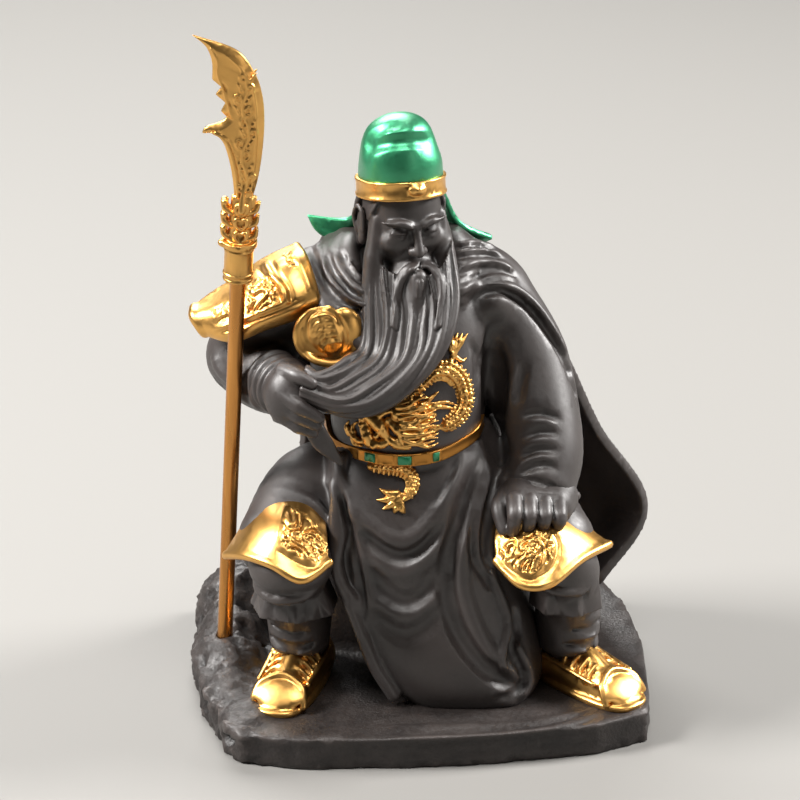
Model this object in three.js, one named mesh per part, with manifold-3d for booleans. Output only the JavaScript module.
// A seated warrior on a rocky base, cast in one piece, and a long-handled blade that stands in the rock.
// Millimetres, +Z up, the figure faces -Y, and the origin is on the underside of the base.
import * as THREE from "three";
import { mergeVertices } from "three/addons/utils/BufferGeometryUtils.js";
import Module from "manifold-3d";

// Sizes of the casting
const FIGURE_HEIGHT = 157; // from the top of the base to the crown of the cap
const BASE_WIDTH = 130;
const BASE_DEPTH = 105;
const BASE_THICKNESS = 9;

// Sizes of the polearm
const SHAFT_DIAMETER = 4.2;
const SHAFT_REACH = 111; // of the shaft between the rock and the ferrule
const SOCKET_DEPTH = 9; // of the hole in the rock, along the shaft
const FERRULE_DIAMETER = 7.6;
const FERRULE_LENGTH = 10.5;
const FERRULE_BORE_DEPTH = 8;
const BLADE_LENGTH = 68; // from the ferrule's mouth to the tip
const BLADE_THICKNESS = 2.6;
const FIT_GAP = 0.3; // between the shaft and each hole it sits in

// Fineness of the carved surfaces
const FIGURE_GRAIN = 1.25;
const FIGURE_TRIANGLES = 8250;
const BLADE_GRAIN = 0.5;
const BLADE_TRIANGLES = 1200;

// The figure's own measures below are in modules, 157 of them to its height, from the top of the base
const MODULE = FIGURE_HEIGHT / 157;

const wasm = await Module();
wasm.setup();

// Clay: shapes are distance functions, sampled on a grid of small cubes
const FAR = 9;

// The smaller of two distances, rounded off where they are within `soft` of each other
function softMin(a, b, soft) {
  const overlap = Math.max(soft - Math.abs(a - b), 0);
  return Math.min(a, b) - (soft > 0 ? (overlap * overlap) / (4 * soft) : 0);
}

// A smooth curve through points, as short straight steps
function curve(points, steps = points.length > 2 ? 4 * (points.length - 1) : 1) {
  const line = new THREE.CatmullRomCurve3(points.map((p) => new THREE.Vector3(...p)), false, "centripetal");
  return line.getPoints(steps);
}

// The place on a polyline nearest to a point: its distance, and how far along it is, from 0 to 1
function nearest(line, x, y, z) {
  let best = Infinity;
  let along = 0;
  const steps = line.length - 1;
  for (let i = 0; i < steps; i++) {
    const a = line[i];
    const b = line[i + 1];
    const [dx, dy, dz] = [b.x - a.x, b.y - a.y, b.z - a.z];
    const [px, py, pz] = [x - a.x, y - a.y, z - a.z];
    const t = Math.min(1, Math.max(0, (px * dx + py * dy + pz * dz) / (dx * dx + dy * dy + dz * dz)));
    const d = (px - t * dx) ** 2 + (py - t * dy) ** 2 + (pz - t * dz) ** 2;
    if (d < best) {
      best = d;
      along = (i + t) / steps;
    }
  }
  return { distance: Math.sqrt(best), along };
}

// A list of numbers read at a place from 0 to 1
function blendAlong(values, along) {
  const at = Math.min(along, 0.99999) * (values.length - 1);
  const i = Math.floor(at);
  return values[i] + (values[i + 1] - values[i]) * (at - i);
}

function boxAround(points, margin) {
  const box = new THREE.Box3();
  for (const p of points) box.expandByPoint(p);
  return box.expandByScalar(margin);
}

// An egg: a ball with three radii
function ball(centre, radii) {
  const [cx, cy, cz] = centre;
  const [rx, ry, rz] = typeof radii === "number" ? [radii, radii, radii] : radii;
  const box = new THREE.Box3(
    new THREE.Vector3(cx - rx, cy - ry, cz - rz),
    new THREE.Vector3(cx + rx, cy + ry, cz + rz),
  );
  return {
    box,
    distance(x, y, z) {
      const [ux, uy, uz] = [(x - cx) / rx, (y - cy) / ry, (z - cz) / rz];
      const inner = Math.hypot(ux, uy, uz);
      const slope = Math.hypot(ux / rx, uy / ry, uz / rz);
      return slope > 1e-9 ? (inner * (inner - 1)) / slope : -Math.min(rx, ry, rz);
    },
  };
}

// A round limb along a curve, with its radius given at even places along it
function limb(points, radii) {
  const line = curve(points);
  const thickness = Array.isArray(radii) ? radii : [radii, radii];
  return {
    box: boxAround(line, Math.max(...thickness)),
    distance(x, y, z) {
      const place = nearest(line, x, y, z);
      return place.distance - blendAlong(thickness, place.along);
    },
  };
}

// An upright form whose sections are rounded boxes: rows of [height, left, right, front, back]
function column(rows, power = 2.6) {
  const heights = rows.map((r) => r[0]);
  const [bottom, top] = [heights[0], heights[heights.length - 1]];
  const box = new THREE.Box3(
    new THREE.Vector3(Math.min(...rows.map((r) => r[1])), Math.min(...rows.map((r) => r[3])), bottom),
    new THREE.Vector3(Math.max(...rows.map((r) => r[2])), Math.max(...rows.map((r) => r[4])), top),
  );
  // The section at a height, on a smooth curve through the rows
  function section(z) {
    let i = 0;
    while (i < rows.length - 2 && z > heights[i + 1]) i++;
    const t = Math.min(1, Math.max(0, (z - heights[i]) / (heights[i + 1] - heights[i])));
    const ease = (k) => {
      const p0 = rows[Math.max(i - 1, 0)][k];
      const p1 = rows[i][k];
      const p2 = rows[i + 1][k];
      const p3 = rows[Math.min(i + 2, rows.length - 1)][k];
      return p1 + 0.5 * t * (p2 - p0 + t * (2 * p0 - 5 * p1 + 4 * p2 - p3 + t * (3 * (p1 - p2) + p3 - p0)));
    };
    return [ease(1), ease(2), ease(3), ease(4)];
  }
  return {
    box,
    distance(x, y, z) {
      const [left, right, front, back] = section(Math.min(top, Math.max(bottom, z)));
      const [a, b] = [(right - left) / 2, (back - front) / 2];
      const u = Math.abs(x - (left + right) / 2) / a;
      const v = Math.abs(y - (front + back) / 2) / b;
      const q = (u ** power + v ** power) ** (1 / power);
      const wall = (q - 1) * Math.min(a, b);
      return Math.max(wall, z - top, bottom - z);
    },
  };
}

// Part of a form, on the side of a plane that `away` points from
function halved(shape, through, away) {
  const face = new THREE.Plane().setFromNormalAndCoplanarPoint(
    new THREE.Vector3(...away).normalize(),
    new THREE.Vector3(...through),
  );
  const { x: ax, y: ay, z: az } = face.normal;
  return {
    box: shape.box,
    distance: (x, y, z) => Math.max(shape.distance(x, y, z), ax * x + ay * y + az * z + face.constant),
  };
}

// How far a place is outside an outline drawn as a closed row of [a, b] points
function outside(outline, a, b) {
  let best = Infinity;
  let within = false;
  for (let i = 0, j = outline.length - 1; i < outline.length; j = i++) {
    const [pa, pb] = outline[i];
    const [da, db] = [outline[j][0] - pa, outline[j][1] - pb];
    const t = Math.min(1, Math.max(0, ((a - pa) * da + (b - pb) * db) / (da * da + db * db)));
    best = Math.min(best, (a - pa - t * da) ** 2 + (b - pb - t * db) ** 2);
    if (pb > b !== outline[j][1] > b && a < pa + ((b - pb) * da) / db) within = !within;
  }
  return within ? -Math.sqrt(best) : Math.sqrt(best);
}

// A slab with an outline in x and y, between two heights
function slab(outline, bottom, top) {
  return {
    box: boxAround(outline.map(([x, y]) => new THREE.Vector3(x, y, (bottom + top) / 2)), (top - bottom) / 2),
    distance: (x, y, z) => Math.max(outside(outline, x, y), z - top, bottom - z),
  };
}

// An upright blade with an outline in x and z, thinning to its edges: `half` is half its thickness,
// `slope` the bevel
function leaf(outline, half, slope) {
  return {
    box: boxAround(outline.map(([x, z]) => new THREE.Vector3(x, 0, z)), half),
    distance(x, y, z) {
      const d = outside(outline, x, z);
      return Math.max(d, Math.abs(y) - Math.min(half, 0.3 * half - slope * d));
    },
  };
}

// Cloth: a smooth sheet through rows of points, with its thickness. `ripple(u, v)` pushes it out
// along its face
function drape(rows, thickness, ripple = () => 0, steps = 34) {
  const across = rows.map((row) => curve(row, steps));
  const grid = [];
  for (let i = 0; i <= steps; i++) grid.push(curve(across.map((row) => row[i].toArray()), steps));
  const middle = grid.map((line) => line.map((p) => p.clone()));
  const point = (i, j) => grid[Math.min(steps, Math.max(0, i))][Math.min(steps, Math.max(0, j))];
  for (let i = 0; i <= steps; i++) {
    for (let j = 0; j <= steps; j++) {
      const du = point(i + 1, j).clone().sub(point(i - 1, j));
      const dv = point(i, j + 1).clone().sub(point(i, j - 1));
      middle[i][j].addScaledVector(du.cross(dv).normalize(), ripple(i / steps, j / steps));
    }
  }
  return { sheet: middle, thickness, box: boxAround(middle.flat(), thickness) };
}

class Clay {
  constructor(low, high, grain) {
    this.low = low;
    this.grain = grain;
    this.count = low.map((v, k) => Math.ceil((high[k] - v) / grain) + 1);
    this.values = new Float32Array(this.count[0] * this.count[1] * this.count[2]).fill(FAR);
    this.frame = new THREE.Matrix4();
  }

  // Runs `shape` with another frame: a place, and turns in degrees about z, then x, then y
  within(place, turns, shape) {
    const kept = this.frame;
    const [yaw, pitch, roll] = turns.map(THREE.MathUtils.degToRad);
    const turn = new THREE.Matrix4().makeRotationFromEuler(new THREE.Euler(pitch, roll, yaw, "ZXY"));
    this.frame = kept.clone().multiply(turn.setPosition(...place));
    shape();
    this.frame = kept;
  }

  // Visits the grid points near a box of the present frame, giving each its place in that frame
  near(box, margin, visit) {
    const size = new THREE.Vector3().setFromMatrixScale(this.frame).x;
    const around = box.clone().expandByScalar(margin / size).applyMatrix4(this.frame);
    const back = this.frame.clone().invert().elements;
    const first = this.low.map((v, k) => Math.max(0, Math.ceil((around.min.toArray()[k] - v) / this.grain)));
    const last = this.low.map((v, k) =>
      Math.min(this.count[k] - 1, Math.floor((around.max.toArray()[k] - v) / this.grain)),
    );
    for (let k = first[2]; k <= last[2]; k++) {
      const z = this.low[2] + k * this.grain;
      for (let j = first[1]; j <= last[1]; j++) {
        const y = this.low[1] + j * this.grain;
        const row = (k * this.count[1] + j) * this.count[0];
        for (let i = first[0]; i <= last[0]; i++) {
          const x = this.low[0] + i * this.grain;
          visit(
            row + i,
            back[0] * x + back[4] * y + back[8] * z + back[12],
            back[1] * x + back[5] * y + back[9] * z + back[13],
            back[2] * x + back[6] * y + back[10] * z + back[14],
            size,
          );
        }
      }
    }
  }

  add(shape, soft = 0) {
    if (shape.sheet) return this.addSheet(shape, soft);
    this.near(shape.box, 3 * this.grain + soft, (i, x, y, z, size) => {
      this.values[i] = softMin(this.values[i], shape.distance(x, y, z) * size, soft);
    });
  }

  cut(shape, soft = 0) {
    this.near(shape.box, 3 * this.grain + soft, (i, x, y, z, size) => {
      this.values[i] = -softMin(-this.values[i], shape.distance(x, y, z) * size, soft);
    });
  }

  // A sheet is laid down triangle by triangle
  addSheet({ sheet, thickness }, soft) {
    const own = new Map();
    const triangle = new THREE.Triangle();
    const here = new THREE.Vector3();
    const foot = new THREE.Vector3();
    const half = thickness / 2;
    const visit = (i, x, y, z, size) => {
      triangle.closestPointToPoint(here.set(x, y, z), foot);
      const d = (foot.distanceTo(here) - half) * size;
      if (!(own.get(i) <= d)) own.set(i, d);
    };
    for (let i = 0; i + 1 < sheet.length; i++) {
      for (let j = 0; j + 1 < sheet[0].length; j++) {
        const [a, b, c, d] = [sheet[i][j], sheet[i + 1][j], sheet[i + 1][j + 1], sheet[i][j + 1]];
        for (const corners of [[a, b, c], [a, c, d]]) {
          triangle.set(...corners);
          this.near(boxAround(corners, half), 1.6 * this.grain + soft, visit);
        }
      }
    }
    for (const [i, d] of own) this.values[i] = softMin(this.values[i], d, soft);
  }

  // Draws a fold along a curve: a rounded ridge where `height` is positive, a groove where it is negative
  fold(points, width, height, deep = 2.2) {
    const line = curve(points);
    this.near(boxAround(line, width * deep), 0, (i, x, y, z, size) => {
      const { distance, along } = nearest(line, x, y, z);
      const t = distance / width;
      if (t >= 1) return;
      const ends = Math.min(1, 4 * Math.min(along, 1 - along) + 0.15);
      this.values[i] -= height * size * ends * (1 - t * t) ** 2;
    });
  }
}

// The clay's surface, by cutting each cube of the grid into six tetrahedra
const TETRAHEDRA = [[1, 2], [2, 4], [4, 1], [2, 1], [4, 2], [1, 4]].map(([a, b], k) =>
  k < 3 ? [0, a, a + b, 7] : [0, a + b, a, 7],
);
const ONE_INSIDE = [[0, 1, 2, 3], [1, 0, 3, 2], [2, 0, 1, 3], [3, 0, 2, 1]];
const TWO_INSIDE = [[0, 1, 2, 3], [0, 2, 3, 1], [0, 3, 1, 2], [1, 2, 0, 3], [1, 3, 2, 0], [2, 3, 0, 1]];

function surfaceOf(clay) {
  const { values, count, low, grain } = clay;
  const [nx, ny, nz] = count;
  const step = [0, 1, nx, nx + 1, nx * ny, nx * ny + 1, nx * ny + nx, nx * ny + nx + 1];
  const corner = (i, bits) => i + step[bits];
  const found = new Map();
  const points = [];
  const faces = [];
  const place = (i) => [i % nx, Math.floor(i / nx) % ny, Math.floor(i / (nx * ny))];

  // The surface point on the edge between two corners of a cube, given as the cube and each corner's bits
  function cross(cube, p, q) {
    if (p > q) [p, q] = [q, p];
    const a = corner(cube, p);
    const key = a * 8 + (q - p);
    let at = found.get(key);
    if (at === undefined) {
      const b = corner(cube, q);
      const share = Math.min(0.95, Math.max(0.05, values[a] / (values[a] - values[b])));
      const [pa, pb] = [place(a), place(b)];
      at = points.length / 3;
      for (let k = 0; k < 3; k++) points.push(low[k] + grain * (pa[k] + share * (pb[k] - pa[k])));
      found.set(key, at);
    }
    return at;
  }

  for (let k = 0; k + 1 < nz; k++) {
    for (let j = 0; j + 1 < ny; j++) {
      for (let i = 0; i + 1 < nx; i++) {
        const cube = (k * ny + j) * nx + i;
        let inside = 0;
        for (let c = 0; c < 8; c++) if (values[corner(cube, c)] < 0) inside++;
        if (inside === 0 || inside === 8) continue;
        for (const tet of TETRAHEDRA) {
          const within = tet.map((c) => values[corner(cube, c)] < 0);
          const n = within.filter(Boolean).length;
          const edge = (a, b) => cross(cube, tet[a], tet[b]);
          if (n === 1 || n === 3) {
            const [a, b, c, d] = ONE_INSIDE.find(([one]) => within[one] === (n === 1));
            const face = [edge(a, b), edge(a, c), edge(a, d)];
            faces.push(...(n === 1 ? face : face.reverse()));
          } else if (n === 2) {
            const [a, b, c, d] = TWO_INSIDE.find(([p, q]) => within[p] && within[q]);
            const [ac, ad, bd, bc] = [edge(a, c), edge(a, d), edge(b, d), edge(b, c)];
            faces.push(ac, ad, bd, ac, bd, bc);
          }
        }
      }
    }
  }
  return { points: Float64Array.from(points), faces: Int32Array.from(faces) };
}

// Folds edges away until few enough triangles are left, first those that change the surface least.
// `worth` says how much finer than elsewhere the surface is kept at a height and depth
function simplify({ points, faces }, target, worth) {
  const faceCount = faces.length / 3;
  const quadric = new Float64Array((points.length / 3) * 10);
  const around = Array.from({ length: points.length / 3 }, () => []);
  const gone = new Uint8Array(faceCount);
  const marked = new Int32Array(points.length / 3);
  let mark = 0;

  const normal = new THREE.Vector3();
  const [side, other] = [new THREE.Vector3(), new THREE.Vector3()];
  function turnTo(out, a, b, c) {
    const [x, y, z] = [points[3 * a], points[3 * a + 1], points[3 * a + 2]];
    side.set(points[3 * b] - x, points[3 * b + 1] - y, points[3 * b + 2] - z);
    other.set(points[3 * c] - x, points[3 * c + 1] - y, points[3 * c + 2] - z);
    return out.crossVectors(side, other);
  }

  for (let f = 0; f < faceCount; f++) {
    const [a, b, c] = [faces[3 * f], faces[3 * f + 1], faces[3 * f + 2]];
    const area = turnTo(normal, a, b, c).length() || 1e-12;
    const { x, y, z } = normal.divideScalar(area);
    const w = -(x * points[3 * a] + y * points[3 * a + 1] + z * points[3 * a + 2]);
    const terms = [x * x, x * y, x * z, x * w, y * y, y * z, y * w, z * z, z * w, w * w];
    const weight = area * worth(points[3 * a + 1], points[3 * a + 2]);
    for (const v of [a, b, c]) {
      around[v].push(f);
      for (let k = 0; k < 10; k++) quadric[10 * v + k] += terms[k] * weight;
    }
  }

  // How far off the surface a place is, for the planes gathered in `q`
  const q = new Float64Array(10);
  const off = (x, y, z) =>
    x * (q[0] * x + 2 * q[1] * y + 2 * q[2] * z + 2 * q[3]) + y * (q[4] * y + 2 * q[5] * z + 2 * q[6]) +
    z * (q[7] * z + 2 * q[8]) + q[9];

  // The best place for an edge's two ends to meet, written to `meeting`, and what it costs
  const meeting = new THREE.Vector3();
  function costOf(a, b) {
    for (let k = 0; k < 10; k++) q[k] = quadric[10 * a + k] + quadric[10 * b + k];
    const [ax, ay, az] = [points[3 * a], points[3 * a + 1], points[3 * a + 2]];
    const [bx, by, bz] = [points[3 * b], points[3 * b + 1], points[3 * b + 2]];
    const [mx, my, mz] = [(ax + bx) / 2, (ay + by) / 2, (az + bz) / 2];
    const reach = (ax - bx) ** 2 + (ay - by) ** 2 + (az - bz) ** 2;
    const c0 = q[4] * q[7] - q[5] * q[5];
    const c1 = q[2] * q[5] - q[1] * q[7];
    const c2 = q[1] * q[5] - q[2] * q[4];
    const det = q[0] * c0 + q[1] * c1 + q[2] * c2;
    let least = Infinity;
    function offer(x, y, z) {
      const cost = off(x, y, z);
      if (cost >= least) return;
      least = cost;
      meeting.set(x, y, z);
    }
    if (Math.abs(det) > 1e-4 * (q[0] + q[4] + q[7]) ** 3) {
      const x = -(c0 * q[3] + c1 * q[6] + c2 * q[8]) / det;
      const y = -(c1 * q[3] + (q[0] * q[7] - q[2] * q[2]) * q[6] + (q[1] * q[2] - q[0] * q[5]) * q[8]) / det;
      const z = -(c2 * q[3] + (q[1] * q[2] - q[0] * q[5]) * q[6] + (q[0] * q[4] - q[1] * q[1]) * q[8]) / det;
      if ((x - mx) ** 2 + (y - my) ** 2 + (z - mz) ** 2 < reach) offer(x, y, z);
    }
    offer(mx, my, mz);
    offer(ax, ay, az);
    offer(bx, by, bz);
    return Math.max(0, least) + 1e-5 * reach;
  }

  // Whether the ends of an edge may meet: the surface stays closed, and no face turns over
  const [before, after] = [new THREE.Vector3(), new THREE.Vector3()];
  function allowed(a, b) {
    mark += 2;
    for (const f of around[a]) for (let k = 0; k < 3; k++) marked[faces[3 * f + k]] = mark;
    let shared = 0;
    for (const f of around[b]) {
      for (let k = 0; k < 3; k++) {
        const v = faces[3 * f + k];
        if (marked[v] === mark && v !== a && v !== b) {
          marked[v] = mark + 1;
          shared++;
        }
      }
    }
    if (shared !== 2) return false;
    for (const [v, otherEnd] of [[a, b], [b, a]]) {
      const [x, y, z] = [points[3 * v], points[3 * v + 1], points[3 * v + 2]];
      for (const f of around[v]) {
        const [i, j, k] = [faces[3 * f], faces[3 * f + 1], faces[3 * f + 2]];
        if (i === otherEnd || j === otherEnd || k === otherEnd) continue;
        turnTo(before, i, j, k);
        meeting.toArray(points, 3 * v);
        turnTo(after, i, j, k);
        points[3 * v] = x;
        points[3 * v + 1] = y;
        points[3 * v + 2] = z;
        const turned = before.dot(after) < 0.25 * before.length() * after.length();
        if (turned || after.length() < 1e-4) return false;
      }
    }
    return true;
  }

  function fold(a, b) {
    meeting.toArray(points, 3 * a);
    for (let k = 0; k < 10; k++) quadric[10 * a + k] += quadric[10 * b + k];
    for (const f of around[b]) {
      const corners = faces.subarray(3 * f, 3 * f + 3);
      if (corners.includes(a)) {
        gone[f] = 1;
        for (const v of corners) if (v !== b) around[v] = around[v].filter((g) => g !== f);
      } else {
        corners[corners.indexOf(b)] = a;
        around[a].push(f);
      }
    }
    around[b] = [];
  }

  let kept = Array.from({ length: faceCount }, (_, f) => f);
  let left = faceCount;
  for (let limit = 2e-4; left > target && limit < 1e4; limit *= 1.5) {
    for (const f of kept) {
      if (left <= target) break;
      for (let k = 0; k < 3 && !gone[f]; k++) {
        const [a, b] = [faces[3 * f + k], faces[3 * f + ((k + 1) % 3)]];
        if (costOf(a, b) < limit && allowed(a, b)) {
          fold(a, b);
          left -= 2;
        }
      }
    }
    kept = kept.filter((f) => !gone[f]);
  }

  const renumbered = new Map();
  const index = [];
  for (const f of kept) {
    if (gone[f]) continue;
    for (const v of faces.subarray(3 * f, 3 * f + 3)) {
      if (!renumbered.has(v)) renumbered.set(v, renumbered.size);
      index.push(renumbered.get(v));
    }
  }
  const position = new Float32Array(renumbered.size * 3);
  for (const [old, now] of renumbered) position.set(points.subarray(3 * old, 3 * old + 3), 3 * now);
  return { position, index: Uint32Array.from(index) };
}

// Solids, from a lump of clay and from a three.js geometry
function solidOfClay(clay, triangles, worth = () => 1) {
  const { position, index } = simplify(surfaceOf(clay), triangles, worth);
  return new wasm.Manifold(new wasm.Mesh({ numProp: 3, vertProperties: position, triVerts: index }));
}

function solidOfGeometry(geometry) {
  geometry.deleteAttribute("uv");
  geometry.deleteAttribute("normal");
  const closed = mergeVertices(geometry, 1e-4);
  const vertProperties = Float32Array.from(closed.attributes.position.array);
  const triVerts = Uint32Array.from(closed.index.array);
  return new wasm.Manifold(new wasm.Mesh({ numProp: 3, vertProperties, triVerts }));
}

function geometryOf(solid) {
  const made = solid.getMesh();
  const position = new Float32Array(made.numVert * 3);
  for (let i = 0; i < made.numVert; i++) {
    position.set(made.vertProperties.subarray(i * made.numProp, i * made.numProp + 3), 3 * i);
  }
  const geometry = new THREE.BufferGeometry();
  geometry.setAttribute("position", new THREE.BufferAttribute(position, 3));
  geometry.setIndex(new THREE.BufferAttribute(made.triVerts, 1));
  geometry.computeVertexNormals();
  return geometry;
}

// A round bar along an axis, from one place on it to another
function bar(diameter, axis, from, to) {
  const geometry = new THREE.CylinderGeometry(diameter / 2, diameter / 2, to - from, 24);
  geometry.translate(0, (from + to) / 2, 0);
  const upright = new THREE.Vector3(0, 1, 0);
  geometry.applyQuaternion(new THREE.Quaternion().setFromUnitVectors(upright, axis.direction));
  geometry.translate(...axis.start.toArray());
  return geometry;
}

// A point part of the way between two
const mix = (a, b, t) => a.map((v, k) => v + (b[k] - v) * t);

// The base: a slab with a broken outline, drawn as shares of half its width and half its depth
const BASE_OUTLINE = [
  [-0.71, -0.95], [-0.46, -1.01], [-0.05, -1], [0.35, -0.95], [0.77, -0.84], [0.98, -0.7], [1, -0.46],
  [1, 0.13], [0.94, 0.63], [0.84, 0.95], [-0.05, 1], [-0.86, 0.86], [-0.93, 0.51], [-0.94, 0.02],
  [-0.87, -0.46], [-0.76, -0.84],
];

function addBase(clay) {
  const outline = BASE_OUTLINE.map(([x, y]) => [(x * BASE_WIDTH) / 2, (y * BASE_DEPTH) / 2]);
  clay.add(slab(outline, -6, BASE_THICKNESS));
  // The sides are chipped, with the deepest chips at the front and on the figure's right
  for (const [k, [x, y]] of outline.entries()) {
    const size = 2.2 + 1.4 * Math.sin(2.4 * k);
    clay.cut(ball([1.045 * x, 1.045 * y, 0.55 * BASE_THICKNESS], [5, 5, size]), 1.5);
  }
}

// Boulders at the edge of the base, and the rock that the figure sits on
function addRocks(clay) {
  const boulders = [
    [[-51, -4, 0], [9.5, 11, 7.4]],
    [[-51, 10, 1], [9, 12, 8]],
    [[-50, 26, 2], [11, 13, 12]],
    [[-36, 34, 8], [15, 12, 14]],
    [[-50, -18, -2], [6, 12, 5]],
    [[-44, -34, -3], [6, 10, 5]],
  ];
  for (const [centre, radii] of boulders) clay.add(ball(centre, radii), 4);
  const seat = [[-2, -34, 40, -4, 46], [14, -32, 38, -6, 42], [34, -26, 30, -6, 32], [40, -20, 24, 0, 26]];
  clay.add(column(seat, 3), 4);
}

function addLegs(clay) {
  // Thighs under the robe
  clay.add(limb([[-12, 14, 44], [-26, -4, 48.5], [-35.5, -19, 43]], [16, 15, 11.5]), 6);
  clay.add(limb([[14, 14, 44], [28, -4, 47], [38, -18, 42]], [16, 14.5, 11.5]), 6);
  addShin(clay, [-30.2, -14.6], [-32.5, -27], -20, [0, 0.5, 40], [11.3, 12, 9]);
  addShin(clay, [42.8, -15.6], [41.5, -24], 42, [-1.5, 3, 39.5], [9.8, 10.6, 8.6]);
  // The robe's hem over each knee
  const hem = [[-44, -4, 46], [-41, -12, 51], [-33.5, -17, 55.5], [-26, -21, 54], [-20.5, -24, 46]];
  clay.add(limb(hem, 1.6), 1);
  clay.add(limb([[24, -18, 60], [35, -14, 59], [43.5, -11, 54], [46.5, -7, 46]], 1.6), 1);
}

// A shin, which leans forward from the ankle to the knee: padding under the knee, a flared cuff and the
// wrapped ankle, each facing -Y in its own frame
function addShin(clay, ankle, knee, yaw, pad, padding) {
  const at = (z) => mix(ankle, knee, (z - 12) / 26);
  const around = (z, make) => clay.within([...at(z), 0], [yaw, 0, 0], make);
  const ring = (z, r) => [z, -r, r, -r, r];
  clay.add(limb([[...at(36), 36], [...at(12), 12]], [9, 7.6]), 2);
  around(40, () => clay.add(ball(pad, padding), 2));
  around(30, () => {
    clay.add(column([ring(26, 11), ring(28.5, 10.2), ring(33, 8.6)], 3.2), 0.5);
    clay.fold([[-10, -4, 34.5], [0, -10.5, 33.5], [10, -4, 34.5]], 2, -1);
    for (const across of [-3, 4]) clay.fold([[across, -8.8, 32], [1.2 * across, -10.8, 26]], 1.6, -1);
  });
  around(18, () => {
    clay.add(column([ring(11, 7.6), ring(15, 8.2), ring(20, 8.6), ring(25, 8)], 2.3), 0.6);
    for (const z of [14, 18, 23]) clay.fold([[-8, -2, z + 1], [0, -9, z], [8, -2, z + 1]], 1.2, -0.7);
  });
}

// A boot with a thick sole and a low, blunt toe, in a frame at the ankle with the toe towards -Y
function addBoot(clay, [x, y], yaw) {
  clay.within([x, y, 0], [yaw, 0, 0], () => {
    clay.add(limb([[0, 4, 4.5], [0, -6, 4], [0, -17, 3]], [8, 7.4, 6.4]), 1);
    const sole = (z, grow) => [z, -7.6 - grow, 7.6 + grow, -26.2 - grow, 9 + grow];
    clay.add(column([sole(-1, -0.4), sole(0.8, 0.6), sole(1.9, 0.1)], 3), 0.3);
    clay.add(ball([0, -19.6, 3.2], [7.4, 7.2, 5.8]), 0.4);
    const rim = [[-7.2, -18.5, 3], [-6.2, -18.2, 7.2], [0, -18, 9.4], [6.2, -18.2, 7.2], [7.2, -18.5, 3]];
    clay.add(limb(rim, 1.1), 0.3);
    clay.add(limb([[0, -2, 12.4], [0, -9, 11], [0, -16.5, 9]], 2.3), 0.3);
    for (const side of [-1, 1]) {
      for (const k of [0, 1, 2, 3]) {
        const [back, top] = [-4.5 - 3.2 * k, 11.7 - 0.64 * k];
        const rib = [
          [2.2 * side, back, top], [4.6 * side, back - 0.3, top - 1.3], [6.4 * side, back - 0.6, top - 3.5],
        ];
        clay.add(limb(rib, 0.8), 0.3);
      }
      clay.add(limb([[7.5 * side, 2, 8.6], [7.2 * side, -8, 7], [6.8 * side, -17, 6]], 0.8), 0.4);
    }
  });
}

// Armour over the knees, flared and waved at the lip: rows of points from the top to the lip
const KNEE_GUARDS = {
  right: [
    [[-42, -13, 50], [-38, -14, 54.5], [-33, -16, 55.5], [-28, -18, 54.5], [-24, -20, 51]],
    [[-46.5, -20, 45], [-41.5, -26, 50], [-34.5, -31, 52], [-28, -31, 50.5], [-23, -29, 48]],
    [[-50, -24, 40.7], [-44, -33, 44.5], [-37, -38.5, 44.5], [-29, -41.5, 41.5], [-22, -37, 44.5]],
  ],
  left: [
    [[25, -18, 51], [30, -17, 54], [36, -16, 54], [41.5, -15, 51], [45.5, -14.5, 46.5]],
    [[22.5, -28, 48.5], [29, -32.5, 50], [36, -31.5, 50.5], [43.5, -25.5, 48], [49, -19, 44.5]],
    [[22.5, -34, 43.5], [29, -41, 39.8], [36.5, -41, 40.2], [45, -32, 43.2], [53, -22, 43]],
  ],
};

function addKneeGuard(clay, rows) {
  clay.add(drape(rows, 2.2), 0.5);
  clay.add(limb(rows[2], 1.4), 0.3);
  clay.add(limb(rows[0], 1.2), 0.3);
}

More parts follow.
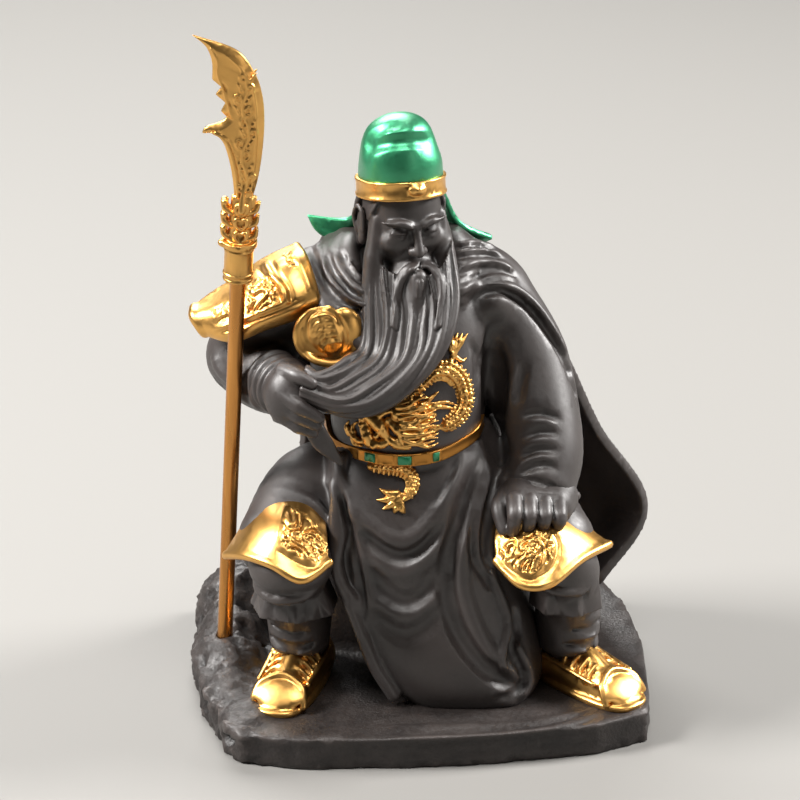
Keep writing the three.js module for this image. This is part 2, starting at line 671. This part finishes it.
// The skirt that hangs between the legs to the ground, with swags across it and long folds down its left side
function addSkirt(clay) {
  clay.add(column([
    [-2, -4, 34, -34, 20],
    [4, -9, 36, -36, 20],
    [12, -14, 35.5, -35.5, 20],
    [23, -18.5, 33, -33, 20],
    [36, -22.5, 29, -31, 20],
    [50, -24, 26.5, -29.5, 20],
    [62, -23.5, 25, -25, 18],
    [70, -21, 21, -20, 18],
  ], 3.2), 1.5);
  const swags = [
    [[-20, -26, 58], [-13, -30, 47], [-3, -32, 41], [7, -31, 44], [14, -29, 54]],
    [[-18, -28, 50], [-11, -32, 39], [-1, -33.5, 32], [9, -33, 37], [15, -31, 47]],
    [[-16, -30, 42], [-9, -34, 29], [1, -35, 23], [10, -34.5, 28], [15, -33, 36]],
    [[-13, -33, 29], [-6, -36, 18], [3, -36.5, 14], [11, -36, 18], [15, -35, 25]],
  ];
  for (const swag of swags) {
    clay.fold(swag, 3, 1.6);
    clay.fold(swag.map(([x, y, z]) => [x, y, z - 4.5]), 3, -1.3);
  }
  clay.fold([[21, -17, 64], [15, -28, 50], [11, -32, 34], [13, -35, 18], [23, -36, 6]], 3.2, -2.4);
  clay.fold([[23, -17, 62], [18.5, -28, 48], [15.5, -32, 32], [18, -35, 16], [29, -34, 5]], 3, 2);
  clay.fold([[25, -14, 60], [22.5, -27, 46], [20.5, -31, 30], [24, -33, 16], [31, -32, 8]], 2.8, -2);
  clay.fold([[28, -12, 56], [26.5, -25, 42], [26, -29, 28], [31, -29, 14]], 2.6, 1.4);
  clay.fold([[-20, -24, 62], [-19, -30, 46], [-14.5, -33, 28], [-12, -34, 12]], 2.8, 1.6);
  for (const k of [0, 1, 2]) clay.fold([[16 + 3 * k, -20 + k, 68], [17 + 3.4 * k, -24 + k, 58]], 1.8, -1.2);
  // The robe's edge, falling from the belt past the right knee to the ground
  const edge = [
    [-19.5, -19, 67], [-20.5, -25, 50], [-19.5, -26.5, 36], [-15, -29, 24], [-10.5, -31.5, 12], [-5, -33, 3],
  ];
  clay.add(limb(edge, 1.8), 1.5);
}

function addTorso(clay) {
  clay.add(column([
    [58, -24, 22, -20, 22],
    [68, -22, 20, -24, 20],
    [78, -22.5, 20, -23.5, 20],
    [92, -24, 21, -18.5, 21],
    [104, -25, 21, -12, 20],
    [113, -16, 12, -6, 16],
    [118, -9, 6, -4, 12],
  ], 2.3), 2);
  clay.add(limb([[-25, 7, 104], [-4, 9, 111], [18, 10, 106]], [11, 10, 11]), 4);
  const belt = [
    [-23, 0, 69], [-20.5, -12, 67], [-11, -22.4, 67.6], [-2, -24.4, 67.6], [6.5, -23.6, 68.8],
    [13, -19.4, 70.8], [17, -15, 72.6], [18.6, -9, 74],
  ];
  clay.add(limb(belt, 1.7), 0.3);
}

function addRightArm(clay) {
  clay.add(limb([[-25, 7, 105], [-38, 9, 95], [-44.5, 9, 86]], [12, 11.4, 11]), 3);
  clay.add(limb([[-44.5, 9, 85.5], [-40, -3, 84], [-33, -16, 86]], [11, 9.2, 8]), 3);
  const creases = [
    [[-50, 1, 76], [-43, -8, 77], [-39, -11, 83], [-40, -7, 91]],
    [[-45, -3, 75.5], [-38.5, -14, 78], [-35.5, -16, 84], [-36, -13, 91]],
  ];
  for (const crease of creases) clay.fold(crease, 2.2, 1.6);
  // The cuff
  clay.add(limb([[-36, -16, 77.5], [-31.5, -22, 79], [-29.5, -24, 86], [-32, -20, 93]], 1.5), 0.8);
}

// Gilt armour on the right upper arm, in two overlapping plates, and at the armpit, half under the beard
function addArmGuards(clay) {
  const guard = [
    [[-31, 8, 117.5], [-39.2, 8, 113.5], [-47.5, 7, 108], [-54.5, 5, 104], [-58.5, 3, 101.3]],
    [[-28.5, -2, 117], [-35.6, -5, 114], [-43, -6, 109], [-50, -4.4, 104], [-58.3, -1, 100.6]],
    [
      [-25.6, -9, 109.6], [-31.2, -11.2, 108.2], [-39.6, -11.2, 104.4],
      [-48.3, -8.4, 99.4], [-56.5, -2.6, 98.2],
    ],
    [[-26, -8.6, 105.8], [-31, -10.6, 104.2], [-39.3, -10.4, 101.2], [-47.8, -7.6, 96.8], [-55.6, -2, 96.6]],
  ];
  clay.add(limb([[-26, 5, 110], [-38, 3, 106.5], [-50, 1.5, 101.5]], [6.5, 6.5, 4]), 1);
  clay.add(drape(guard, 2.6, () => 0, 24), 0.4);
  clay.add(limb(guard[3], 1.4), 0.4);
  clay.add(limb(guard.map((row) => row[4]), 1.4), 0.4);
  clay.add(limb([[-37, -4, 114.5], [-34.5, -9, 110.5], [-34, -11.4, 106.5]], 1.1), 0.4);
  clay.add(ball([-17.4, -15.6, 102], [4.4, 3, 6.4]), 0.4);
  clay.add(ball([-23.4, -14.6, 101.2], [7, 4.6, 7.4]), 0.3);
  const ring = [2, 2.9, 3.8, 4.7, 5.6].map((a) => [
    -23.4 + 7 * Math.cos(a), -15.6 + 0.9 * Math.cos(a), 101.2 + 7.2 * Math.sin(a),
  ]);
  clay.add(limb(ring, [0.9, 1.3, 1.5, 1.3]), 0.3);
}

// The hand that holds the beard
function addRightHand(clay) {
  clay.add(limb([[-36, -13, 87], [-32.4, -20, 87]], [7.4, 7.4]), 1.5);
  clay.add(ball([-31.8, -23.5, 86.8], [7.3, 6.8, 8.5]), 1);
  clay.add(limb([[-33.5, -23.5, 94], [-29.5, -28.5, 94.2], [-26.5, -29.5, 92.4]], [3, 2.4, 1.6]), 0.6);
  for (const k of [0, 1, 2]) {
    const finger = [
      [-34.6, -27 + 0.8 * k, 89.2 - 3.5 * k], [-29.8, -30.3 + 1.2 * k, 86.6 - 3.3 * k],
      [-24.2 - 0.9 * k, -31 + 1.3 * k, 83.4 - 2.6 * k],
    ];
    clay.add(limb(finger, [2.4, 2.3, 1.8]), 0.3);
  }
}

function addLeftArm(clay) {
  clay.add(limb([[21, 9, 102], [30, 4, 86], [35, -8, 67], [34, -15, 58]], [12, 12.6, 11.3, 10.4]), 2.5);
  clay.add(limb([[24.5, -18, 56.5], [30, -25, 59.5], [38, -25, 58.5], [44, -18, 55.5]], 1.4), 0.6);
  for (const k of [0, 1, 2, 3]) {
    const [y, z] = [-7 - 3.4 * k, 84 - 6.6 * k];
    clay.fold([[22 + k, y + 2, z - 4], [29 + k, y - 4, z], [37 + k, y - 2, z + 1]], 2.4, 1.3);
    clay.fold([[23 + k, y + 1, z - 7], [30 + k, y - 5, z - 3.3], [38 + k, y - 3, z - 2.3]], 2, -1.3);
  }
  clay.fold([[15, -8, 100], [18, -11, 88], [21, -14, 76]], 3, -2);
}

// The fist on the left knee
function addLeftHand(clay) {
  clay.add(limb([[29.5, -22, 56], [38, -21, 55]], [7.4, 7]), 1.5);
  for (const k of [0, 1, 2, 3]) {
    const x = 27 + 4.3 * k;
    const knuckle = [x, -28.5 + 0.8 * k, 59.2 - 0.7 * k];
    const finger = [knuckle, [x, -34 + 0.9 * k, 56 - 0.6 * k], [x - 0.4, -33.5 + 1.2 * k, 50.5]];
    clay.add(limb(finger, [2.3, 2.2, 1.8]), 0.2);
  }
  clay.add(limb([[25.5, -20, 58], [23.2, -27, 56], [24.4, -31, 51.5]], [2.5, 2.2, 1.8]), 0.4);
}

// The cape from the shoulders to the ground, swinging out on the figure's left
function addCape(clay) {
  const rows = [
    [[-30, 10, 107], [-20, 20, 112], [-3, 23, 114], [16, 19, 112], [28, 8, 107]],
    [[-40, 18, 88], [-24, 29, 90], [0, 32, 90], [24, 28, 90], [40.5, 11, 86]],
    [[-31, 28, 60], [-21, 36, 58], [2, 41, 58], [32, 36, 58], [51.5, 17, 60]],
    [[-33, 35, 28], [-20, 43, 28], [8, 47, 28], [40, 42, 28], [66, 23, 34]],
    [[-32, 40, -1], [-17, 47, -1], [10, 48, -1], [40, 44, 2], [53.5, 19, 12]],
  ];
  clay.add(drape(rows, 3, (u, v) => 1.3 * v * Math.sin(26 * u + 3 * v)), 1);
  // What fills the cape behind the figure
  clay.add(column([
    [-2, -30, 40, 0, 45],
    [20, -30, 40, 4, 44],
    [45, -28, 36, 4, 39],
    [70, -27, 32, 4, 34],
    [92, -29, 29, 4, 28],
    [107, -23, 21, 4, 21],
  ], 2.5), 2);
}

// The shawl of cloth around the neck and shoulders, in bands one over another
function addMantle(clay) {
  const bands = [
    [[-14, 13, 119], [-17, 2, 117.5], [-14.5, -9, 111], [-8, -15, 104]],
    [[-18, 12, 118.5], [-21, 0, 114.5], [-17.5, -11.5, 107], [-10, -16.5, 100.5]],
    [[-22, 12, 117], [-25, -1, 111.5], [-20.5, -13, 103.8], [-13, -17, 98.5]],
  ];
  for (const band of bands) clay.add(limb(band, [3, 3, 2.6, 1.8]), 0.8);
  clay.add(limb([[8, 15, 119], [14, 4, 116], [12, -7, 110]], [4, 4.4, 3.4]), 3);
  clay.add(limb([[10, 12, 115], [20, 6, 110], [22, -2, 105]], [5, 5, 4]), 4);
  // The edge of the cape, from the breast over the left shoulder and down behind the arm
  const edge = [[9, -13, 104], [17, -10, 104.5], [26, -3, 105], [33, 4, 98], [38.5, 8, 86]];
  clay.add(limb(edge, [1.6, 1.8, 2, 2.2, 1.8]), 0.6);
}

// The head, turned to the figure's left and bowed a little, in its own frame at the middle of the skull
const HEAD = { place: [-2.5, 0.5, 127.6], turns: [20, 7, 0] };

function addHead(clay) {
  clay.add(limb([[-3, 8, 108], [-2.5, 3, 124]], [9, 8.5]), 2);
  clay.within(HEAD.place, HEAD.turns, () => {
    clay.add(ball([0, 1.4, 4], [10.4, 11.8, 13.2]));
    clay.add(ball([0, -3, -3.6], [8.9, 8.2, 9.6]), 3);
    clay.add(ball([0, -7.6, -10.8], [4.2, 3.6, 3]), 2.5);
    // Brow, nose, cheeks, lips and chin
    clay.add(limb([[-6.5, -9, 4.6], [0, -11.3, 3.8], [6.5, -9, 4.6]], [1.4, 1.3, 1.4]), 1.4);
    clay.add(limb([[0, -11, 2.5], [0, -14, -3.2]], [1.2, 1.8]), 0.8);
    for (const side of [-1, 1]) {
      clay.add(ball([1.7 * side, -12.4, -3.6], 1.2), 0.5);
      clay.cut(ball([4.2 * side, -11.4, 1.2], [2.6, 1.9, 1.7]), 0.8);
      clay.add(ball([4.1 * side, -9.4, 1.1], [2.3, 1.6, 1.4]), 0.3);
      clay.add(ball([5.2 * side, -8, -2.6], [2.8, 2.4, 2.2]), 1.5);
      clay.add(ball([10.8 * side, 1.5, 0.5], [1.5, 2.8, 4.6]), 0.6);
      clay.add(ball([11 * side, 1, -3.6], [1.3, 1.8, 2.4]), 0.6);
    }
    clay.add(limb([[-2.4, -10.8, -6.6], [0, -11.8, -6.3], [2.4, -10.8, -6.6]], 0.9), 0.3);
  });
}

// The cap, worn back from the brow, in its own frame at the middle of its band: a band, a rounded crown and a
// lobe folded over its front, with two wide tails behind
const CAP = { place: [-3, 1.5, 137.3], turns: [20, -8, 0] };

function addCap(clay) {
  clay.within(CAP.place, CAP.turns, () => {
    clay.add(column([
      [2, -11.2, 11.2, -12.3, 11.7],
      [6.4, -11, 10.6, -12.5, 10.7],
      [12, -10.25, 8.95, -12.1, 8.7],
      [15.5, -8.85, 7.55, -11.2, 6.8],
      [17.6, -6.7, 5.9, -9.5, 4.5],
      [18.9, -4.15, 3.65, -7.1, 1.7],
      [19.5, -1.85, 1.35, -4.6, -1],
    ], 2.1));
    clay.add(ball([-0.5, -4.2, 6.5], [10.9, 9.4, 6.6]), 0.4);
    clay.add(column([[-2.3, -11.7, 11.7, -12.6, 12.6], [2.3, -11.7, 11.7, -12.6, 12.6]], 2.1), 0.1);
    clay.add(ball([0.2, -12.7, 0.4], [2.6, 1.2, 1.7]), 0.2);
  });
  const tails = [
    [
      [[-13.2, 4, 138], [-14.6, 6.5, 129], [-18, 12, 124], [-28.5, 14, 124.5]],
      [[-9.5, 10.5, 139], [-12.5, 13, 127], [-17, 13, 120.5], [-26, 12, 120.5]],
      [[-4, 13, 139], [-9, 16, 124], [-15, 13, 117.5], [-21, 11, 117.5]],
    ],
    [
      [[6.5, 9, 138], [9, 12, 130], [13, 14, 122], [22, 18, 116.5]],
      [[3, 12.4, 139], [7, 17, 127], [12, 18, 119], [19, 20, 114.5]],
      [[-0.5, 13, 139], [4, 19, 124], [8, 20, 117], [14, 21, 113.5]],
    ],
  ];
  for (const rows of tails) clay.add(drape(rows, 2, () => 0, 20), 0.5);
}

// The beard: one sheet from the cheeks to the hand, rippled into locks, and the tip that hangs below the hand
const BEARD_LOCKS = 8;

function addBeard(clay) {
  clay.add(limb([[0, -5, 114], [-1, -10, 104], [-6, -16, 95], [-18, -21.5, 88.5]], [7.5, 8, 7, 4.5]), 1.5);
  const rows = [
    [[-11.6, -4.5, 124], [-7.5, -9.5, 117.5], [0.5, -11, 114.2], [6.5, -9.5, 117], [10, -4.5, 124]],
    [[-12.5, -10.5, 111], [-6.5, -15.5, 107.5], [1, -17.5, 105.5], [7.5, -16.5, 107.5], [12, -12, 111.5]],
    [[-13.5, -18.5, 98], [-7.5, -21.5, 97], [-1, -24, 96.5], [4.5, -23.5, 98], [9.5, -20.5, 101]],
    [[-18.5, -23.5, 96.5], [-14.5, -26.5, 92.8], [-10, -29, 90], [-5.5, -29, 88.8], [-1.5, -26.6, 89.5]],
    [[-24, -26, 94.5], [-21.5, -28.5, 90.5], [-18.5, -30.3, 87.5], [-15.5, -30.6, 85.6], [-12.5, -29.5, 84.8]],
    [[-27, -24, 94.5], [-28, -27, 92.5], [-28.5, -28.5, 90.5], [-28.5, -28, 88.5], [-27.5, -26.5, 86.5]],
  ];
  clay.add(drape(rows, 4, (u) => 0.9 * Math.cos(2 * Math.PI * BEARD_LOCKS * u), 52), 0.6);
  for (const k of [0, 1, 2]) {
    const lock = [
      [-27.5 + 1.1 * k, -27, 79], [-24.2 + k, -26.3, 73.2], [-18.8 + 0.3 * k, -25.2, 68.2],
    ];
    clay.add(limb(lock, [1.8, 1.5, 0.7]), 0.2);
  }
  // The moustache, and the locks that hang in front of the ears
  for (const side of [-1, 1]) {
    const hang = [
      [0.6 + 1.2 * side, -13.4, 121.6], [1 + 4.6 * side, -13.6, 118], [0.8 + 5.6 * side, -18.2, 107],
    ];
    clay.add(limb(hang, [1, 1.4, 0.9]), 0.2);
    const lock = [
      [-0.8 + 9.8 * side, -5 + 2.5 * side, 127], [-0.8 + 10.6 * side, -6.5 + 1.5 * side, 119],
      [-0.5 + 12 * side, -11 + 0.5 * side, 111],
    ];
    clay.add(limb(lock, [1.2, 1.8, 1.4]), 0.6);
  }
}

// A dragon in relief on the belly: its coil and raised claw, its head and mane, and its tail below the belt
function addDragon(clay) {
  const coil = [
    [-3.7, -22, 83.4], [2, -20.5, 88], [6.6, -18, 92.2], [10, -16.5, 93], [13.8, -15.7, 90],
    [15.6, -15.5, 84.6], [14.6, -17.7, 79.6], [10, -21.4, 78], [4, -23, 78.2],
  ];
  clay.add(limb(coil, [1.5, 2, 2.2, 2.3, 2.3, 2.3, 2.2, 2.2, 2.4]), 0.3);
  clay.add(limb([[12, -15.4, 93], [11.7, -13.6, 97], [11.7, -12.2, 100]], [1.2, 1, 1.2]), 0.3);
  for (const spread of [-2, 0, 2]) {
    const claw = [[11.7, -12.2, 99.5], [11.9 + spread, -11.6, 102.6 - 0.2 * spread * spread]];
    clay.add(limb(claw, [0.9, 0.7]), 0.3);
  }
  clay.add(ball([-11, -21.8, 76], [4.8, 2.6, 4.8]), 0.6);
  clay.add(ball([-2, -23.4, 77], [5.4, 1.8, 3.6]), 0.6);
  const tail = [
    [-8, -22.6, 65.4], [-2.3, -23.6, 64.8], [0.8, -25, 62.4], [-0.2, -26.4, 59.4], [-4, -27.2, 57.6],
    [-8.6, -26.4, 58.8],
  ];
  clay.add(limb(tail, [1.3, 2, 2, 1.8, 1.5, 0.9]), 0.3);
}

const sculpture = [
  addRocks, addLegs, addCape, addTorso, addSkirt, addRightArm, addLeftArm, addMantle, addArmGuards, addHead,
  addCap, addBeard, addRightHand, addLeftHand, addDragon,
];

// The polearm's axis: it starts where the shaft meets the rock, and leans towards the figure and forwards
const SHAFT = {
  start: new THREE.Vector3(-52.1, -3.5, 6.8).multiplyScalar(MODULE).setZ(6.8 * MODULE + BASE_THICKNESS),
  direction: new THREE.Vector3(6.4, -12.5, 110.2).normalize(),
};

function figureSolid() {
  const reach = [
    Math.max(BASE_WIDTH / 2, 65 * MODULE) + 8,
    Math.max(BASE_DEPTH / 2, 52.5 * MODULE) + 8,
    BASE_THICKNESS + FIGURE_HEIGHT + 6,
  ];
  const clay = new Clay([-reach[0], -reach[1], -8], reach, FIGURE_GRAIN);
  addBase(clay);
  clay.frame.makeScale(MODULE, MODULE, MODULE).setPosition(0, 0, BASE_THICKNESS);
  for (const sculpt of sculpture) sculpt(clay);
  addBoot(clay, [-30.2, -14.6], -15.7);
  addBoot(clay, [42.8, -15.6], 42.4);
  addKneeGuard(clay, KNEE_GUARDS.right);
  addKneeGuard(clay, KNEE_GUARDS.left);

  // The front of the figure is carved finer than the back, and the head finest
  const worth = (y, z) => (y > 12 || z < BASE_THICKNESS + 1 ? 0.6 : z > BASE_THICKNESS + 70 * MODULE ? 6 : 2);
  const floor = new THREE.BoxGeometry(4 * BASE_WIDTH, 4 * BASE_DEPTH, 100).translate(0, 0, -50);
  const hole = bar(SHAFT_DIAMETER + 2 * FIT_GAP, SHAFT, -SOCKET_DEPTH, 12);
  const lump = solidOfClay(clay, FIGURE_TRIANGLES, worth);
  return lump.subtract(solidOfGeometry(floor)).subtract(solidOfGeometry(hole));
}

// The blade is drawn across and up, 44 mm long above the guard's top at a height of 24, and stretched to
// its length
const GUARD_LENGTH = 13.5;
const GUARD_TOP = FERRULE_LENGTH + GUARD_LENGTH;
const BLADE_SCALE = (BLADE_LENGTH - GUARD_TOP) / 44;
const drawn = (x, z) => [x * BLADE_SCALE, GUARD_TOP + (z - 24) * BLADE_SCALE];

// The outline: the cutting edge, the hollow sweep back from the tip, three teeth and the hook
function bladeOutline() {
  const cutting = [
    [2.6, 22], [4.2, 29], [5.1, 37], [5.3, 45.5], [4.5, 52.5], [2.3, 58.6], [-2.6, 64.6], [-13.8, 68],
  ];
  const sweep = [[-13.8, 68], [-10.2, 65], [-8.6, 61], [-8.4, 56.4]];
  const teeth = [[-8.4, 56.2], [-6, 54.2], [-7.4, 52.1], [-4.8, 49.9], [-5.9, 47.6], [-4.3, 46]];
  const hook = [
    [-5.2, 45], [-7, 44], [-9.6, 42.9], [-10.4, 41.2], [-8, 41.2], [-5.2, 39], [-3.4, 34], [-2.2, 28],
    [-1.6, 22],
  ];
  const smooth = (points) => curve(points.map(([x, z]) => [x, 0, z])).map((p) => [p.x, p.z]);
  return [...smooth(cutting), ...smooth(sweep).slice(1), ...teeth, ...smooth(hook)].map((p) => drawn(...p));
}

function bladeSolid() {
  const radius = FERRULE_DIAMETER / 2;
  const clay = new Clay([-16 * BLADE_SCALE, -8, -3], [10 * BLADE_SCALE, 8, BLADE_LENGTH + 4], BLADE_GRAIN);
  const ring = (z, r) => [z, -r, r, -r, r];
  clay.add(column([ring(0, radius), ring(FERRULE_LENGTH, radius)], 2));
  clay.add(column([ring(1, radius + 0.3), ring(2.2, radius + 0.3)], 2), 0.1);
  const lip = [ring(FERRULE_LENGTH - 0.6, radius + 0.9), ring(FERRULE_LENGTH + 1, radius + 0.9)];
  clay.add(column(lip, 2), 0.2);
  clay.add(ball([-radius - 0.3, -1, FERRULE_LENGTH + 0.2], [1.5, 1.4, 1.2]), 0.3);
  // The beast's mouth that holds the blade, with curling leaves
  clay.add(column([
    ring(FERRULE_LENGTH, radius - 0.4),
    [FERRULE_LENGTH + 4, -3.3, 3.4, -2.6, 2.6],
    [FERRULE_LENGTH + 9, -3.2, 4.2, -2.2, 2.2],
    [GUARD_TOP, -2.8, 4.6, -1.5, 1.5],
  ], 2.4), 0.5);
  for (const face of [-1, 1]) {
    for (const k of [0, 1, 2]) {
      const [z, x] = [FERRULE_LENGTH + 2.5 + 3.6 * k, 3.4 - 0.1 * k];
      clay.add(ball([-x, face * 0.6, z + 0.8], [1, 1, 1.3]), 0.3);
      clay.add(ball([x + 0.4 * k, face * 0.6, z], [0.9, 1, 1.4]), 0.3);
      clay.add(ball([0.4, face * (2.6 - 0.35 * k), z], [1.5, 0.8, 1.3]), 0.3);
    }
  }
  clay.add(leaf(bladeOutline(), BLADE_THICKNESS / 2, 0.5), 0.3);
  // Scrollwork up the middle of both faces, and a raised border along the hook
  for (const face of [-1, 1]) {
    for (let k = 0; k < 8; k++) {
      const [x, z] = drawn(1.4 - 0.35 * k + 0.9 * Math.sin(2.2 * k), 26 + 4.3 * k);
      clay.add(ball([x, (face * BLADE_THICKNESS) / 2, z], [1.5, 0.45, 2.1]), 0.3);
    }
    const border = [[-1.4, 1, 24], [-2.6, 1, 34], [-5, 1, 40], [-9, 0.7, 42]].map(([x, deep, z]) => {
      const [across, up] = drawn(x, z);
      return [across, deep * face, up];
    });
    clay.add(limb(border, 0.6), 0.2);
  }
  return solidOfClay(clay, BLADE_TRIANGLES);
}

// The blade's frame: up the shaft, from the ferrule's mouth, with its face to the front
function bladeFrame() {
  const up = SHAFT.direction;
  const across = new THREE.Vector3(1, 0, 0).addScaledVector(up, -up.x).normalize();
  const back = new THREE.Vector3().crossVectors(up, across);
  const mouth = SHAFT.start.clone().addScaledVector(up, SHAFT_REACH);
  return new THREE.Matrix4().makeBasis(across, back, up).setPosition(mouth);
}

function polearmBlade() {
  const upright = { start: new THREE.Vector3(), direction: new THREE.Vector3(0, 0, 1) };
  const bore = bar(SHAFT_DIAMETER + 2 * FIT_GAP, upright, -4, FERRULE_BORE_DEPTH);
  const below = new THREE.BoxGeometry(40, 40, 20).translate(0, 0, -10);
  const cast = bladeSolid().subtract(solidOfGeometry(below)).subtract(solidOfGeometry(bore));
  return geometryOf(cast).applyMatrix4(bladeFrame());
}

function polearmShaft() {
  return bar(SHAFT_DIAMETER, SHAFT, FIT_GAP - SOCKET_DEPTH, SHAFT_REACH + FERRULE_BORE_DEPTH - FIT_GAP);
}

// The pieces
const clayBrown = new THREE.MeshStandardMaterial({ color: 0x3b3436, roughness: 0.55 });
const copperGold = new THREE.MeshStandardMaterial({ color: 0xb9793f, roughness: 0.3, metalness: 0.9 });
const brightGold = new THREE.MeshStandardMaterial({ color: 0xd9a441, roughness: 0.3, metalness: 0.9 });

const statue = new THREE.Group();
const pieces = [
  ["figure_and_base", geometryOf(figureSolid()), clayBrown],
  ["polearm_shaft", polearmShaft(), copperGold],
  ["polearm_blade", polearmBlade(), brightGold],
];
for (const [name, geometry, material] of pieces) {
  const mesh = new THREE.Mesh(geometry, material);
  mesh.name = name;
  statue.add(mesh);
}

export default statue;
